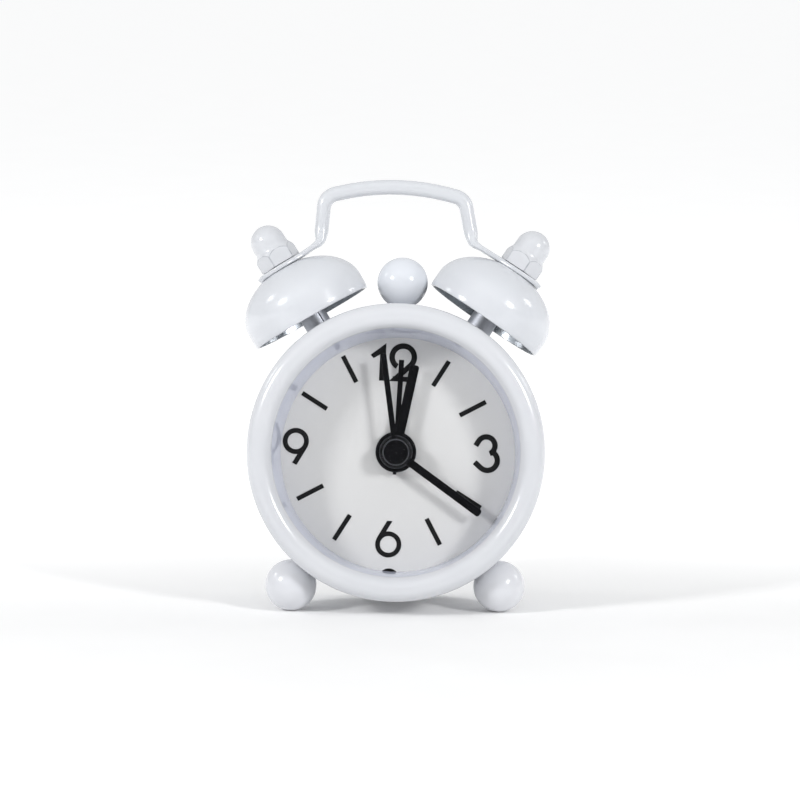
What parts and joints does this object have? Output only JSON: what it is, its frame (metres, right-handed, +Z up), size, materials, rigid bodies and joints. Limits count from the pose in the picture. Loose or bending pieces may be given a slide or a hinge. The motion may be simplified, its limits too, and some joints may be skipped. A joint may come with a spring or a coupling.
{
  "type": "analog alarm clock",
  "caption": "Small twin-bell analog alarm clock: white drum case with half-round bezel, bell domes under cap nuts, wire handle, ball finial and feet, quartz movement and rear setting knobs.",
  "frame": {"origin": "on the standing surface, under the middle of the bounding box", "axes": "+Z up, the dial faces -Y (leaned back by the standing attitude), +X to the right of a viewer in front of the dial"},
  "size_m": [0.0602, 0.0363, 0.083],
  "materials": {
    "white_paint": "gloss",
    "white_plastic": "gloss",
    "bare_steel": "satin",
    "lens": "polished",
    "dial_face": "matte",
    "print": "matte",
    "hand_black": "satin",
    "brass": "satin",
    "resin": "satin",
    "black_plastic": "satin",
    "magnet": "matte",
    "copper": "satin",
    "board": "satin"
  },
  "bodies": {
    "case": {"case_drum": "white_paint", "bezel_ring": "white_paint", "lens": "lens", "dial_ring": "white_plastic", "dial": "dial_face", "dial_markings": "print", "stator": "bare_steel", "coil": "copper", "front_plate": "black_plastic", "middle_plate": "resin", "back_plate": "black_plastic", "movement_screws": "bare_steel", "circuit_board": "board", "chip": "black_plastic", "quartz_crystal": "bare_steel", "buzzer": "brass", "button_cell": "bare_steel", "contact_plus": "brass", "contact_minus": "brass", "rear_cover": "white_plastic", "rear_cover_screws": "bare_steel", "bell_left": "white_paint", "bell_right": "white_paint", "stud_left": "bare_steel", "stud_right": "bare_steel", "spacer_left": "bare_steel", "spacer_right": "bare_steel", "cap_nut_left": "white_paint", "cap_nut_right": "white_paint", "inner_nut_left": "bare_steel", "inner_nut_right": "bare_steel", "handle": "white_paint", "finial_ball": "white_plastic", "foot_left": "white_plastic", "foot_right": "white_plastic", "ball_rivets": "bare_steel"},
    "second": {"second_hand": "hand_black", "second_wheel": "brass"},
    "third": {"third_wheel": "resin"},
    "centre": {"centre_wheel": "brass"},
    "intermediate": {"intermediate_wheel": "resin"},
    "rotor": {"rotor": "magnet"},
    "minute": {"minute_hand": "hand_black", "cannon_pinion": "brass"},
    "motion": {"motion_wheel": "resin"},
    "hour": {"hour_hand": "hand_black", "hour_wheel": "resin"},
    "time_setter": {"time_set_arbor": "brass", "time_knob": "white_plastic"},
    "alarm": {"alarm_hand": "hand_black", "alarm_wheel": "resin"},
    "alarm_setter": {"alarm_set_arbor": "brass", "alarm_knob": "white_plastic"},
    "switch": {"alarm_switch": "black_plastic"},
    "door": {"battery_door": "white_plastic"}
  },
  "joints": [
    {"name": "second_hand_spin", "type": "hinge", "parent": "case", "child": "second", "pos_m": [-0.0003, 0.00035, 0.02998], "axis": [0, 0.991, -0.1335], "continuous": true},
    {"name": "third_wheel_spin", "type": "hinge", "parent": "case", "child": "third", "pos_m": [-0.00809, 0.00095, 0.03444], "axis": [0, 0.991, -0.1335], "continuous": true},
    {"name": "centre_wheel_spin", "type": "hinge", "parent": "case", "child": "centre", "pos_m": [-0.0003, 0.00035, 0.02998], "axis": [0, 0.991, -0.1335], "continuous": true},
    {"name": "intermediate_wheel_spin", "type": "hinge", "parent": "case", "child": "intermediate", "pos_m": [0.00439, 0.00143, 0.03803], "axis": [0, 0.991, -0.1335], "continuous": true},
    {"name": "rotor_spin", "type": "hinge", "parent": "case", "child": "rotor", "pos_m": [0.01028, 0.00189, 0.0414], "axis": [0, 0.991, -0.1335], "continuous": true},
    {"name": "minute_hand_spin", "type": "hinge", "parent": "case", "child": "minute", "pos_m": [-0.0003, 0.00035, 0.02998], "axis": [0, 0.991, -0.1335], "continuous": true},
    {"name": "motion_wheel_spin", "type": "hinge", "parent": "case", "child": "motion", "pos_m": [0.00394, -0.00022, 0.02578], "axis": [0, 0.991, -0.1335], "continuous": true},
    {"name": "hour_hand_spin", "type": "hinge", "parent": "case", "child": "hour", "pos_m": [-0.0003, 0.00035, 0.02998], "axis": [0, 0.991, -0.1335], "continuous": true},
    {"name": "time_knob_spin", "type": "hinge", "parent": "case", "child": "time_setter", "pos_m": [0.00819, -0.00078, 0.02157], "axis": [0, 0.991, -0.1335], "continuous": true},
    {"name": "alarm_hand_spin", "type": "hinge", "parent": "case", "child": "alarm", "pos_m": [-0.0003, 0.00035, 0.02998], "axis": [0, 0.991, -0.1335], "continuous": true},
    {"name": "alarm_knob_spin", "type": "hinge", "parent": "case", "child": "alarm_setter", "pos_m": [-0.00879, -0.00078, 0.02157], "axis": [0, 0.991, -0.1335], "continuous": true},
    {"name": "alarm_switch_slide", "type": "slide", "parent": "case", "child": "switch", "axis": [1, 0, 0], "range_m": [0, 0.003]},
    {"name": "battery_door_turn", "type": "hinge", "parent": "case", "child": "door", "pos_m": [-0.0003, -0.00184, 0.01373], "axis": [0, 0.991, -0.1335], "range_deg": [0, 60]}
  ],
  "couplings": [
    {"joint": "third_wheel_spin", "follows": "second_hand_spin", "ratio": -0.125},
    {"joint": "centre_wheel_spin", "follows": "second_hand_spin", "ratio": 0.016667},
    {"joint": "intermediate_wheel_spin", "follows": "second_hand_spin", "ratio": -4},
    {"joint": "rotor_spin", "follows": "second_hand_spin", "ratio": 30},
    {"joint": "motion_wheel_spin", "follows": "minute_hand_spin", "ratio": -0.33333},
    {"joint": "hour_hand_spin", "follows": "minute_hand_spin", "ratio": 0.083333},
    {"joint": "time_knob_spin", "follows": "minute_hand_spin", "ratio": 1},
    {"joint": "alarm_knob_spin", "follows": "alarm_hand_spin", "ratio": -1.6667}
  ]
}
